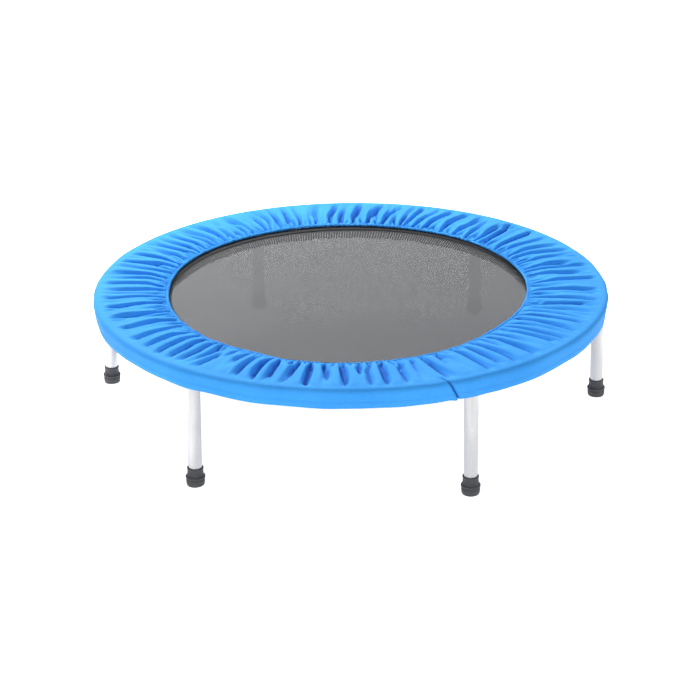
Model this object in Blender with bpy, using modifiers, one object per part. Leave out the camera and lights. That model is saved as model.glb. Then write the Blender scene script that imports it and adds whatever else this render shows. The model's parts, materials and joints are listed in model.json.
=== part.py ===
"""A six-legged mini trampoline: a round tube frame, a woven mat hung on extension springs, an
elasticated cover over the springs, and legs that screw into threaded bushes under the frame.

Metres, +Z up. The origin is on the floor, under the centre of the mat. Leg 1 stands at +X, and legs,
sockets and springs are numbered counter-clockwise from there, seen from above.
"""

import math

import bmesh
import bpy
from mathutils import Matrix, Vector

# Driving dimensions
OVERALL_DIAMETER = 0.960
FRAME_CENTRE_HEIGHT = 0.2015
COVER_OPENING_RADIUS = 0.346
LEG_COUNT = 6
SPRING_COUNT = 30
LEG_SPLAY = math.radians(1.5)
GAP = 0.0003  # left between pieces that touch
MERGE_DISTANCE = 0.00001
FLOOR_CUTTER_DEPTH = 0.02
FLOOR_CUTTER_WIDTH = 1.2 * OVERALL_DIAMETER

# Frame ring: one round tube, bent and welded into a circle
FRAME_TUBE_RADIUS = 0.0125
FRAME_HOLLOW_RADIUS = 0.0112
COVER_STANDOFF = 0.0045  # from the tube's outer side to the cover's outer face
RING_RADIUS = OVERALL_DIAMETER / 2 - COVER_STANDOFF - FRAME_TUBE_RADIUS
RING_SEGMENTS = 60
HALF_SEGMENT = math.pi / RING_SEGMENTS
TUBE_SIDES = 12
HOLLOW_SIDES = 8
SPRING_HOLE_RADIUS = 0.0032
SPRING_HOLE_SIDES = 6

# Leg sockets: threaded bushes welded through the underside of the ring's tube. Heights along a
# leg's axis count from the centre of the ring's tube.
SOCKET_RADIUS = 0.0080
SOCKET_BORE_RADIUS = 0.0052
SOCKET_PROUD = 0.0025
SOCKET_BOTTOM = -(FRAME_TUBE_RADIUS + SOCKET_PROUD)
SOCKET_SIDES = 12

# Legs: a tube with a threaded stud in its top plug, a washer and a rubber foot
LEG_RADIUS = 0.0120
LEG_WALL = 0.0012
WASHER_THICKNESS = 0.0012
WASHER_RADIUS = 0.0102
LEG_TOP = SOCKET_BOTTOM - WASHER_THICKNESS - 2 * GAP
STUD_RADIUS = 0.0048
STUD_LENGTH = 0.0150
LEG_SIDES = 16
PLUG_DEPTH = 0.0080
PLUG_RADIUS = LEG_RADIUS - LEG_WALL - 2 * GAP
LEG_AXIS_LENGTH = FRAME_CENTRE_HEIGHT / math.cos(LEG_SPLAY)
FOOT_SOLE = 0.0060  # rubber under the end of the tube
FOOT_OVERRUN = 0.0010  # cut off again by the floor, so that the splayed foot stands flat

# Mat and its sewn edge band
MAT_RADIUS = 0.3635
MAT_THICKNESS = 0.0020
BAND_INNER_RADIUS = 0.340
BAND_CLOTH = 0.0012
BAND_OUTER_RADIUS = MAT_RADIUS + GAP + BAND_CLOTH
BAND_INSIDE = MAT_THICKNESS / 2 + GAP

# Springs, along their own axis from the frame's wall (0) towards the mat (negative)
SPRING_WIRE_RADIUS = 0.0011
SPRING_COIL_RADIUS = 0.0055
COIL_START = -0.0140
COIL_END = -0.0620
MAT_HOOK_END = -0.0720
COIL_TAPER = 0.0020
FRAME_HOOK_REACH = 0.0050  # inside the frame's tube
HOOK_BEND = 0.0015
HOOK_DROP = 0.0045

# Cover and the elastics in its two hems
COVER_CLOTH = 0.0012
COVER_HEM_HEIGHT = 0.2100
COVER_SKIRT_HEIGHT = 0.1840
COVER_OVER_TUBE = 0.0155
COVER_CORNER_STEPS = 4
COVER_CORNER_START = math.radians(100)  # round the frame's tube, counted up from level
ELASTIC_RADIUS = 0.0013
ELASTIC_SIDES = 4


def clear_scene():
    for obj in list(bpy.data.objects):
        bpy.data.objects.remove(obj)


def make_collection(name):
    collection = bpy.data.collections.new(name)
    bpy.context.scene.collection.children.link(collection)
    return collection


def make_material(name, colour, roughness, metallic=0.0):
    material = bpy.data.materials.new(name)
    material.use_nodes = True
    shader = material.node_tree.nodes["Principled BSDF"]
    shader.inputs["Base Color"].default_value = (*colour, 1.0)
    shader.inputs["Roughness"].default_value = roughness
    shader.inputs["Metallic"].default_value = metallic
    return material


def add_object(name, data, material, collection):
    obj = bpy.data.objects.new(name, data)
    if material:
        data.materials.append(material)
    collection.objects.link(obj)
    return obj


def take_primitive(name, material, collection):
    """Names the primitive that was just added, and moves it to its collection."""
    obj = bpy.context.object
    for old in list(obj.users_collection):
        old.objects.unlink(obj)
    collection.objects.link(obj)
    obj.name = name
    obj.data.name = name
    if material:
        obj.data.materials.append(material)
    return obj


def shade_round(mesh, angle=40):
    mesh.shade_smooth()
    mesh.set_sharp_from_angle(angle=math.radians(angle))


def turned_mesh(name, profile, closed):
    """A profile of (radius, height) points in the XZ plane, for a Screw modifier to turn."""
    mesh = bpy.data.meshes.new(name)
    edges = [(i, i + 1) for i in range(len(profile) - 1)]
    if closed:
        edges.append((len(profile) - 1, 0))
    mesh.from_pydata([(radius, 0, height) for radius, height in profile], edges, [])
    return mesh


def turn(obj, steps):
    screw = obj.modifiers.new("Turn", "SCREW")
    screw.steps = steps
    screw.render_steps = steps
    screw.use_merge_vertices = True
    screw.merge_threshold = MERGE_DISTANCE
    return screw


def combine(obj, operation, others):
    boolean = obj.modifiers.new(operation.title(), "BOOLEAN")
    boolean.operation = operation
    boolean.operand_type = "COLLECTION"
    boolean.collection = others
    weld = obj.modifiers.new("Weld", "WELD")
    weld.merge_threshold = MERGE_DISTANCE


def as_cutter(obj):
    obj.hide_render = True
    obj.display_type = "WIRE"


def on_ring(radius, angle, height):
    return Vector((radius * math.cos(angle), radius * math.sin(angle), height))


def leg_angle(number):
    return math.tau * (number - 1) / LEG_COUNT


def spring_angle(number):
    """Springs are spread evenly, with the gap between two of them centred on each leg."""
    return math.tau * (number - 0.5) / SPRING_COUNT


def leg_axis_matrix(number):
    """At the centre of the frame's tube over a leg, local +X outward and -Z down along the leg."""
    angle = leg_angle(number)
    place = Matrix.Translation(on_ring(RING_RADIUS, angle, FRAME_CENTRE_HEIGHT))
    return place @ Matrix.Rotation(angle, 4, "Z") @ Matrix.Rotation(-LEG_SPLAY, 4, "Y")


def make_leg_axis(number, collection):
    axis = bpy.data.objects.new(f"leg_{number}_axis", None)
    axis.matrix_world = leg_axis_matrix(number)
    collection.objects.link(axis)
    return axis


def make_ring_torus(name, minor_radius, minor_segments, material, collection):
    bpy.ops.mesh.primitive_torus_add(
        major_radius=RING_RADIUS,
        minor_radius=minor_radius,
        major_segments=RING_SEGMENTS,
        minor_segments=minor_segments,
        location=(0, 0, FRAME_CENTRE_HEIGHT),
        rotation=(0, 0, HALF_SEGMENT),
    )
    return take_primitive(name, material, collection)


def make_rod_cutter(name, radius, length, sides, matrix, collection):
    """A cylinder that starts at the matrix's origin and runs down its -Z."""
    mesh = bpy.data.meshes.new(name)
    shape = bmesh.new()
    bmesh.ops.create_cone(
        shape,
        cap_ends=True,
        segments=sides,
        radius1=radius,
        radius2=radius,
        depth=length,
        matrix=Matrix.Translation((0, 0, -length / 2)),
    )
    shape.to_mesh(mesh)
    shape.free()
    cutter = add_object(name, mesh, None, collection)
    cutter.matrix_world = matrix
    as_cutter(cutter)


def make_frame_ring(material, parts, cutters, sockets):
    """A hollow tube, open where the springs hook in, with the leg sockets welded through it."""
    ring = make_ring_torus("frame_ring", FRAME_TUBE_RADIUS, TUBE_SIDES, material, parts)
    hollow = make_ring_torus("ring_hollow_cutter", FRAME_HOLLOW_RADIUS, HOLLOW_SIDES, None, cutters)
    as_cutter(hollow)
    for number in range(1, SPRING_COUNT + 1):
        angle = spring_angle(number)
        centre = Matrix.Translation(on_ring(RING_RADIUS, angle, FRAME_CENTRE_HEIGHT))
        inward = Matrix.Rotation(angle, 4, "Z") @ Matrix.Rotation(math.pi / 2, 4, "Y")
        make_rod_cutter(
            f"spring_hole_cutter_{number:02d}",
            SPRING_HOLE_RADIUS,
            2 * FRAME_TUBE_RADIUS,
            SPRING_HOLE_SIDES,
            centre @ inward,
            cutters,
        )
    hole_radius = (SOCKET_BORE_RADIUS + SOCKET_RADIUS) / 2
    for number in range(1, LEG_COUNT + 1):
        matrix = leg_axis_matrix(number)
        name = f"socket_hole_cutter_{number}"
        make_rod_cutter(name, hole_radius, 2 * FRAME_TUBE_RADIUS, SOCKET_SIDES, matrix, cutters)
        make_leg_socket(number, matrix, sockets)
    combine(ring, "DIFFERENCE", cutters)
    combine(ring, "UNION", sockets)
    shade_round(ring.data)


def make_leg_socket(number, matrix, sockets):
    profile = [
        (SOCKET_BORE_RADIUS, SOCKET_BOTTOM),
        (SOCKET_BORE_RADIUS, 0),
        (SOCKET_RADIUS, 0),
        (SOCKET_RADIUS, SOCKET_BOTTOM),
    ]
    name = f"leg_socket_{number}"
    socket = add_object(name, turned_mesh(name, profile, closed=True), None, sockets)
    socket.matrix_world = matrix
    turn(socket, SOCKET_SIDES)
    as_cutter(socket)


def make_leg_washer(number, axis, material, parts):
    top = SOCKET_BOTTOM - GAP
    bottom = top - WASHER_THICKNESS
    profile = [
        (SOCKET_BORE_RADIUS, bottom),
        (SOCKET_BORE_RADIUS, top),
        (WASHER_RADIUS, top),
        (WASHER_RADIUS, bottom),
    ]
    name = f"leg_washer_{number}"
    washer = add_object(name, turned_mesh(name, profile, closed=True), material, parts)
    washer.parent = axis
    turn(washer, SOCKET_SIDES)


def make_leg_tube(number, axis, material, parts):
    bottom = FOOT_SOLE + GAP - LEG_AXIS_LENGTH
    profile = [
        (LEG_RADIUS - LEG_WALL, bottom),
        (LEG_RADIUS - LEG_WALL, LEG_TOP),
        (LEG_RADIUS, LEG_TOP),
        (LEG_RADIUS, bottom),
    ]
    name = f"leg_tube_{number}"
    tube = add_object(name, turned_mesh(name, profile, closed=True), material, parts)
    tube.parent = axis
    turn(tube, LEG_SIDES)


def make_leg_stud(number, axis, material, parts):
    """The plug in the tube's top end and the threaded stud that stands on it, in one piece."""
    tip = LEG_TOP + STUD_LENGTH
    chamfer = STUD_RADIUS / 4
    profile = [
        (0, tip),
        (STUD_RADIUS - chamfer, tip),
        (STUD_RADIUS, tip - chamfer),
        (STUD_RADIUS, LEG_TOP),
        (PLUG_RADIUS, LEG_TOP),
        (PLUG_RADIUS, LEG_TOP - PLUG_DEPTH),
        (0, LEG_TOP - PLUG_DEPTH),
    ]
    name = f"leg_stud_{number}"
    stud = add_object(name, turned_mesh(name, profile, closed=False), material, parts)
    stud.parent = axis
    turn(stud, SOCKET_SIDES)


def foot_profile():
    """From the middle of the bore's floor, up the bore, over the lip and down the outside."""
    bore = LEG_RADIUS + GAP
    height_and_radius = [
        (0.0330, 0.0138),  # collar
        (0.0195, 0.0135),
        (0.0165, 0.0167),  # ridge
        (0.0135, 0.0167),
        (0.0120, 0.0156),  # base below the ridge
        (0.0030, 0.0158),
        (-FOOT_OVERRUN, 0.0144),
    ]
    outside = [(radius, height - LEG_AXIS_LENGTH) for height, radius in height_and_radius]
    sole = FOOT_SOLE - LEG_AXIS_LENGTH
    return [(0, sole), (bore, sole), (bore, outside[0][1]), *outside, (0, outside[-1][1])]


def make_leg_foot(number, axis, material, parts, floor_cutters):
    name = f"leg_foot_{number}"
    foot = add_object(name, turned_mesh(name, foot_profile(), closed=False), material, parts)
    foot.parent = axis
    turn(foot, LEG_SIDES)
    combine(foot, "DIFFERENCE", floor_cutters)


def make_floor_cutter(collection):
    bpy.ops.mesh.primitive_cube_add(size=1, location=(0, 0, -FLOOR_CUTTER_DEPTH / 2))
    cutter = take_primitive("floor_cutter", None, collection)
    cutter.scale = (FLOOR_CUTTER_WIDTH, FLOOR_CUTTER_WIDTH, FLOOR_CUTTER_DEPTH)
    as_cutter(cutter)


def make_spring_curve():
    """Hook, coil and hook as one round bar along X: the outer shape of a close-wound spring."""
    points = [
        (FRAME_HOOK_REACH, -HOOK_DROP, SPRING_WIRE_RADIUS),
        (FRAME_HOOK_REACH, -HOOK_BEND, SPRING_WIRE_RADIUS),
        (FRAME_HOOK_REACH - HOOK_BEND, 0.0, SPRING_WIRE_RADIUS),
        (COIL_START, 0.0, SPRING_WIRE_RADIUS),
        (COIL_START - COIL_TAPER, 0.0, SPRING_COIL_RADIUS),
        (COIL_END + COIL_TAPER, 0.0, SPRING_COIL_RADIUS),
        (COIL_END, 0.0, SPRING_WIRE_RADIUS),
        (MAT_HOOK_END + HOOK_BEND, 0.0, SPRING_WIRE_RADIUS),
        (MAT_HOOK_END, -HOOK_BEND, SPRING_WIRE_RADIUS),
        (MAT_HOOK_END, -HOOK_DROP, SPRING_WIRE_RADIUS),
    ]
    curve = bpy.data.curves.new("spring", "CURVE")
    curve.dimensions = "3D"
    curve.twist_mode = "Z_UP"
    curve.bevel_depth = 1.0
    curve.bevel_resolution = 1
    curve.use_fill_caps = True
    spline = curve.splines.new("POLY")
    spline.points.add(len(points) - 1)
    for point, (along, height, radius) in zip(spline.points, points):
        point.co = (along, 0, height, 1)
        point.radius = radius
    return curve


def make_springs(material, parts):
    curve = make_spring_curve()
    curve.materials.append(material)
    for number in range(1, SPRING_COUNT + 1):
        angle = spring_angle(number)
        spring = add_object(f"spring_{number:02d}", curve, None, parts)
        spring.location = on_ring(RING_RADIUS - FRAME_TUBE_RADIUS, angle, FRAME_CENTRE_HEIGHT)
        spring.rotation_euler = (0, 0, angle)


def make_mat(material, parts):
    bpy.ops.mesh.primitive_cylinder_add(
        vertices=RING_SEGMENTS,
        radius=MAT_RADIUS,
        depth=MAT_THICKNESS,
        location=(0, 0, FRAME_CENTRE_HEIGHT),
    )
    take_primitive("jump_mat", material, parts)


def make_mat_edge_band(material, parts):
    """Webbing folded over the mat's edge, open towards the middle."""
    outside = BAND_INSIDE + BAND_CLOTH
    fold = MAT_RADIUS + GAP
    profile = [
        (BAND_INNER_RADIUS, BAND_INSIDE),
        (BAND_INNER_RADIUS, outside),
        (BAND_OUTER_RADIUS, outside),
        (BAND_OUTER_RADIUS, -outside),
        (BAND_INNER_RADIUS, -outside),
        (BAND_INNER_RADIUS, -BAND_INSIDE),
        (fold, -BAND_INSIDE),
        (fold, BAND_INSIDE),
    ]
    band = add_object(
        "mat_edge_band", turned_mesh("mat_edge_band", profile, closed=True), material, parts
    )
    band.location.z = FRAME_CENTRE_HEIGHT
    turn(band, RING_SEGMENTS)


def cover_profile():
    """From the inner hem out over the springs, round the frame's tube and down to the outer hem."""
    width = OVERALL_DIAMETER / 2 - RING_RADIUS
    profile = [(COVER_OPENING_RADIUS, COVER_HEM_HEIGHT)]
    for step in range(COVER_CORNER_STEPS + 1):
        angle = COVER_CORNER_START * (1 - step / COVER_CORNER_STEPS)
        radius = RING_RADIUS + width * math.cos(angle)
        profile.append((radius, FRAME_CENTRE_HEIGHT + COVER_OVER_TUBE * math.sin(angle)))
    profile.append((OVERALL_DIAMETER / 2 - GAP, COVER_SKIRT_HEIGHT))
    return profile


def make_cover(material, parts):
    cover = add_object(
        "spring_cover",
        turned_mesh("spring_cover", cover_profile(), closed=False),
        material,
        parts,
    )
    turn(cover, RING_SEGMENTS)
    cloth = cover.modifiers.new("Cloth", "SOLIDIFY")
    cloth.thickness = COVER_CLOTH
    cloth.offset = -1


def make_elastic(name, radius, height, material, parts):
    bpy.ops.mesh.primitive_torus_add(
        major_radius=radius,
        minor_radius=ELASTIC_RADIUS,
        major_segments=RING_SEGMENTS,
        minor_segments=ELASTIC_SIDES,
        location=(0, 0, height),
    )
    take_primitive(name, material, parts)


def make_elastics(material, parts):
    make_elastic(
        "cover_inner_elastic",
        COVER_OPENING_RADIUS + 2 * ELASTIC_RADIUS,
        COVER_HEM_HEIGHT - COVER_CLOTH - ELASTIC_RADIUS - 2 * GAP,
        material,
        parts,
    )
    make_elastic(
        "cover_outer_elastic",
        OVERALL_DIAMETER / 2 - COVER_CLOTH - ELASTIC_RADIUS - 2 * GAP,
        COVER_SKIRT_HEIGHT + 2 * ELASTIC_RADIUS,
        material,
        parts,
    )


def make_legs(parts, floor_cutters):
    silver = make_material("leg_silver_paint", (0.74, 0.76, 0.79), 0.35, 0.2)
    zinc = make_material("zinc_plate", (0.62, 0.63, 0.64), 0.35, 1.0)
    rubber = make_material("foot_rubber", (0.035, 0.035, 0.038), 0.75)
    for number in range(1, LEG_COUNT + 1):
        axis = make_leg_axis(number, parts)
        make_leg_washer(number, axis, zinc, parts)
        make_leg_tube(number, axis, silver, parts)
        make_leg_stud(number, axis, zinc, parts)
        make_leg_foot(number, axis, rubber, parts, floor_cutters)


def main():
    clear_scene()
    parts = make_collection("mini_trampoline")
    ring_cutters = make_collection("ring_cutters")
    leg_sockets = make_collection("leg_sockets")
    floor_cutters = make_collection("floor_cutters")
    make_floor_cutter(floor_cutters)
    frame_paint = make_material("frame_silver_paint", (0.70, 0.72, 0.75), 0.4, 0.2)
    make_frame_ring(frame_paint, parts, ring_cutters, leg_sockets)
    make_legs(parts, floor_cutters)
    make_springs(make_material("spring_steel", (0.55, 0.56, 0.58), 0.3, 1.0), parts)
    make_mat(make_material("mat_mesh", (0.19, 0.19, 0.2), 0.8), parts)
    make_mat_edge_band(make_material("band_webbing", (0.02, 0.02, 0.022), 0.85), parts)
    make_cover(make_material("cover_fabric", (0.05, 0.30, 0.90), 0.75), parts)
    make_elastics(make_material("elastic", (0.85, 0.85, 0.83), 0.7), parts)


main()
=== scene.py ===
"""Looks of the mini trampoline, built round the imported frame. Metres, +Z up, origin on the floor."""

import json
import math

import bmesh
import bpy
import numpy as np
from mathutils import Matrix, Vector


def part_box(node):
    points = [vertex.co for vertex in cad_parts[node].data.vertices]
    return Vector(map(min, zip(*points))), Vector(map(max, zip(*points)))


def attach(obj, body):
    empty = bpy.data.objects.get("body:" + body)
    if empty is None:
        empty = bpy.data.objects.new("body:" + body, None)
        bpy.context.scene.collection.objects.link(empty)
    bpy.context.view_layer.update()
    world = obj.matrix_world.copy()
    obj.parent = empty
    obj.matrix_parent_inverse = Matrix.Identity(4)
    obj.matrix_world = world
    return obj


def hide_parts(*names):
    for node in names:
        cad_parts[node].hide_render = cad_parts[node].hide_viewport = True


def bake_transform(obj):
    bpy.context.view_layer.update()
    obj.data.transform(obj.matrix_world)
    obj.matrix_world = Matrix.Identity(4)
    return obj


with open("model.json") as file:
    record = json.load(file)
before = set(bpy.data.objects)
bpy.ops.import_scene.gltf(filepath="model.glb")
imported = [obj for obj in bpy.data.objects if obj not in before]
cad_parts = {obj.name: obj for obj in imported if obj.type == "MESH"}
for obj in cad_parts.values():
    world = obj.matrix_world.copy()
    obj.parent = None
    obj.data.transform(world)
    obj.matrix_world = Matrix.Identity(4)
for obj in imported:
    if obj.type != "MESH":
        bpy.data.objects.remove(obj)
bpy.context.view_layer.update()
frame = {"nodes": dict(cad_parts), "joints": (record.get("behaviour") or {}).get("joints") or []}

# ---- sizes, read from the frame
LEG_JOINTS = [joint for joint in frame["joints"] if joint["name"].endswith("_turn")]
RING_RADIUS = math.hypot(*LEG_JOINTS[0]["pos_m"][:2])
RING_HEIGHT = LEG_JOINTS[0]["pos_m"][2]
TUBE_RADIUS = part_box("frame_ring")[1].z - RING_HEIGHT
MAT_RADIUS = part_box("jump_mat")[1].x
BAND_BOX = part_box("mat_edge_band")
BAND_RADIUS = BAND_BOX[1].x
BAND_HALF = BAND_BOX[1].z - RING_HEIGHT
SPRING_NAMES = sorted(name for name in frame["nodes"] if name.startswith("spring_") and name[7:].isdigit())
SPRING_COUNT = len(SPRING_NAMES)

# ---- cover
HEM_HEIGHT = 0.2089
HEM_ROLL = 0.0026
SEAM_RADIUS = 0.3503  # where the gathered cloth leaves the inner hem's roll
TOP_RADIUS = 0.4720  # where the top turns down into the outer wall
TOP_HEIGHT = 0.2186
CORNER = 0.0080
WALL_RADIUS = 0.4800
SKIRT_HEIGHT = 0.1850
SKIRT_RADIUS = 0.4768
SKIRT_ROLL = 0.0022
COVER_COLUMNS = 1120
COVER_ROWS = 44
COVER_THICKNESS = 0.0008
STEEPEST_STITCH = 0.0006  # a stitch that would climb more than this is lost in a crease
STRIP_LENGTH = 2 * math.pi * WALL_RADIUS
HEM_EXCESS = 0.36  # how much longer the cloth is at the seam than the seam itself
STRETCH = 1.006  # slack from the inner seam to the outer hem
BED_LOW = 0.2052  # the top of the mat's edge and of the V-rings
SPRING_TOP = 0.0055  # the top of the springs, above the ring's middle
SPRINGS_START = 0.372  # the radius where the springs begin to lift the cloth
SPRINGS_RISE = 0.016
CLOTH_GAP = 0.0012  # from the springs and the tube up to the cloth
LID_START = 0.0018  # the folds' highest place at the seam, above the hem
LID_SLOPE = 0.20
HELD_MARGIN = 0.002  # the cloth is held from this far inside the top's outer end
# The darkening of the cloth's hollows, set by this depth, is painted shade.
SHADE_DEPTH = 0.0018  # hollows darken from 0.7 of this depth to 1.7 of it
TOP_SPEED = 0.001  # the farthest that a point of the cloth goes on by itself in one step
HEM_SHIFT = Vector((-0.0063, 0.0036, 0.0))
HEM_OVAL = 0.0088
HEM_LOBES = 0.0028
HEM_PULLS = ((-38, 14, 0.0045), (-113, 10, 0.0055))  # degrees, width in degrees, distance inward
# Where the folds lean aside: degrees, width in degrees, and the lean in radians.
FOLD_LEANS = ((82, 20, 0.150), (46, 14, -0.060), (128, 20, -0.045))
# Folds: how many there are round the ring, how far they wander, how high they stand, and their
# middle and reach on the way from the inner seam outward.
FOLDS = (
    (280, 12.0, 0.0012, 0.000, 0.010),
    (140, 12.0, 0.0030, 0.010, 0.013),
    (56, 10.0, 0.0022, 0.036, 0.030),
    (29, 7.0, 0.0030, 0.078, 0.036),
)
CREASE_DEPTH = 0.0085
CREASE_WIDTH = 0.0036
# The deepest creases: degrees at the hem and at the outer end, and the radii that they run between.
CREASES = (
    (-106, -106, 0.360, 0.442),
    (-94.5, -94.5, 0.364, 0.468),
    (-87, -86, 0.364, 0.450),
    (-77.5, -77.5, 0.364, 0.454),
    (-65.5, -64.5, 0.370, 0.466),
    (-147, -146, 0.358, 0.446),
    (-161, -160, 0.360, 0.454),
    (-22.5, -22, 0.344, 0.460),
    (-14, -10, 0.342, 0.460),
    (-2, -1.5, 0.344, 0.460),
    (38, 42, 0.350, 0.478),
    (43.5, 49.5, 0.348, 0.478),
)
TUCK_TURN = math.radians(-66.2)
TUCK_SLANT = 0.55
PLEAT_COLUMNS = 2640
PLEATS = 300
PLEATS_BELOW = 260

# ---- mat and its edge
BAND_INNER_RADIUS = 0.340
MESH_PITCH = 0.0020
RIB_PITCH = 0.0054
WARP_FLARE = 1.35
BAND_THICKNESS = 0.0011
WHIPPING_PITCH = 0.0055
STITCH_PITCH = 0.0045
RING_BASE_RADIUS = 0.3690
RING_APEX_RADIUS = 0.3808
RING_BASE_HALF = 0.0105
RING_APEX_HALF = 0.0022
RING_APEX_DROP = 0.0023
RING_WIRE = 0.0012
TAB_HALF = 0.0085
TAB_START = 0.3510
TAB_THICKNESS = 0.0009
TAB_GAP = 0.0003

# ---- springs: along X from the tube's wall
WIRE_RADIUS = 0.0011
COIL_RADIUS = 0.0043
COIL_START = -0.0140
COIL_END = -0.0620
MAT_HOOK = -0.0720
HOOK_DROP = 0.0045

# ---- frame and legs: down from the tube's middle
TUBE_WALL = 0.0013
SPRING_HOLE = 0.0032
LEG_HOLE = 0.0078
SOCKET_RADIUS = 0.0080
SOCKET_BOTTOM = -0.0150
WASHER_THICKNESS = 0.0012
WASHER_GAP = 0.0003
THREAD_PITCH = 0.0015
THREAD_DEPTH = 0.0009
STUD_RADIUS = 0.0048
STUD_LENGTH = 0.0150
LEG_TUBE_RADIUS = 0.0120
LEG_WALL = 0.0012
LEG_TOP = SOCKET_BOTTOM - WASHER_THICKNESS - 2 * WASHER_GAP
FOOT_SOLE = 0.0060

# ---- camera
CAMERA_LENS = 82.54
CAMERA_SENSOR = 36.0
CAMERA_SHIFT_X = -0.00073
CAMERA_SHIFT_Y = -0.08418
CAMERA_DISTANCE = 3.0264
CAMERA_ELEVATION = math.radians(21.494)
CAMERA_AZIMUTH = math.radians(4.76)
CAMERA_ROLL = -0.0079
CAMERA_TARGET = Vector((0, 0, 0.2))


# ======== node helpers
def fill(tree, made, inputs):
    """Sets a node's sockets to plain values, or links them to the sockets that feed them."""
    for key, value in inputs.items():
        if isinstance(value, bpy.types.NodeSocket):
            tree.links.new(value, made.inputs[key])
        else:
            made.inputs[key].default_value = value


def new_material(name, looks, *details):
    """A material whose shader gets what the looks function returns for its sockets."""
    material = bpy.data.materials.new(name)
    material.use_nodes = True
    tree = material.node_tree
    fill(tree, tree.nodes["Principled BSDF"], looks(tree, *details))
    return material


def node(tree, kind, inputs=None, **settings):
    made = tree.nodes.new(kind)
    for key, value in settings.items():
        setattr(made, key, value)
    fill(tree, made, inputs or {})
    return made


def calc(tree, operation, first, second=0.0):
    return node(tree, "ShaderNodeMath", {0: first, 1: second}, operation=operation).outputs[0]


def object_place(tree):
    return node(tree, "ShaderNodeTexCoord").outputs["Object"]


def noise(tree, scale, detail=3.0, vector=None):
    inputs = {"Scale": scale, "Detail": detail, "Vector": vector or object_place(tree)}
    return node(tree, "ShaderNodeTexNoise", inputs).outputs[0]


def spread(tree, value, low, high, out_low=0.0, out_high=1.0):
    inputs = {0: value, 1: low, 2: high, 3: out_low, 4: out_high}
    return node(tree, "ShaderNodeMapRange", inputs).outputs[0]


def weighted(tree, first, second, share):
    """The first value's share of a sum, and the rest from the second."""
    rest = calc(tree, "MULTIPLY", second, 1 - share)
    return calc(tree, "ADD", calc(tree, "MULTIPLY", first, share), rest)


def blend_colours(tree, share, first, second):
    mixed = node(tree, "ShaderNodeMix", {0: share}, data_type="RGBA")
    for key, colour in ((6, first), (7, second)):
        fill(tree, mixed, {key: (*colour, 1.0) if isinstance(colour, tuple) else colour})
    return mixed.outputs[2]


def shade_down(colour, share):
    return tuple(share * part for part in colour)


def bump(tree, height, distance, before=None):
    inputs = {"Height": height, "Distance": distance, "Strength": 1.0}
    if before:
        inputs["Normal"] = before
    return node(tree, "ShaderNodeBump", inputs).outputs[0]


def sine(tree, coordinate, pitch):
    return calc(tree, "SINE", calc(tree, "MULTIPLY", coordinate, math.tau / pitch))


def wave(tree, coordinate, pitch):
    """A sine wave from 0 to 1."""
    return spread(tree, sine(tree, coordinate, pitch), -1.0, 1.0)


def uv_axes(tree, name):
    uv = node(tree, "ShaderNodeUVMap", uv_map=name).outputs[0]
    split = node(tree, "ShaderNodeSeparateXYZ", {0: uv})
    return split.outputs[0], split.outputs[1]


# ======== materials
def cover_fabric(tree):
    """Plain-woven polyester: threads along and across the strip, a soft sheen, fine creasing, and painted
    shade in the creases.
    """
    along, across = uv_axes(tree, "cloth")
    pitch = 0.0009
    weave = calc(tree, "MULTIPLY", sine(tree, along, pitch), sine(tree, across, pitch))
    weave = spread(tree, weave, -1.0, 1.0)
    slubs = noise(tree, 160.0, 2.0)
    tone = spread(tree, weighted(tree, noise(tree, 9.0, 4.0), slubs, 0.7), 0.35, 0.65)
    plain = blend_colours(tree, tone, (0.042, 0.295, 0.77), (0.053, 0.344, 0.85))
    colour = blend_colours(tree, spread(tree, weave, 0.0, 1.0, 0.10, 0.0), plain, (0.02, 0.16, 0.58))
    # Painted shade: the cloth is painted a deep blue where the stored shade says it lies in a hollow or a
    # deep fold.
    crease = node(tree, "ShaderNodeAttribute", attribute_name="crease").outputs["Fac"]
    colour = blend_colours(tree, calc(tree, "MULTIPLY", crease, 0.85), colour, (0.007, 0.085, 0.40))
    creased = bump(tree, noise(tree, 55.0, 4.0), 0.0007)
    return {
        "Base Color": colour,
        "Roughness": spread(tree, slubs, 0.3, 0.7, 0.56, 0.70),
        "Normal": bump(tree, weave, 0.00006, creased),
        "Sheen Weight": 0.06,
        "Sheen Roughness": 0.4,
        "Sheen Tint": (0.40, 0.72, 1.0, 1.0),
        "Specular IOR Level": 0.05,
    }


def mat_mesh(tree):
    """Open mesh of flat dark tapes, with small clear gaps between them and darker ribs in the warp."""
    warp, weft = uv_axes(tree, "weave")
    thread = calc(tree, "MAXIMUM", wave(tree, warp, MESH_PITCH), wave(tree, weft, MESH_PITCH))
    rib = spread(tree, sine(tree, warp, RIB_PITCH), 0.3, 1.0)
    worn = noise(tree, 14.0, 5.0)
    tone = spread(tree, weighted(tree, worn, noise(tree, 700.0, 2.0), 0.35), 0.35, 0.65)
    tapes = blend_colours(tree, tone, (0.096, 0.098, 0.102), (0.113, 0.115, 0.120))
    return {
        "Alpha": calc(tree, "GREATER_THAN", thread, 0.035),
        "Base Color": blend_colours(tree, calc(tree, "MULTIPLY", rib, 0.25), tapes, (0.05, 0.05, 0.055)),
        "Roughness": spread(tree, worn, 0.3, 0.7, 0.74, 0.84),
        "Specular IOR Level": 0.25,
    }


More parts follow.
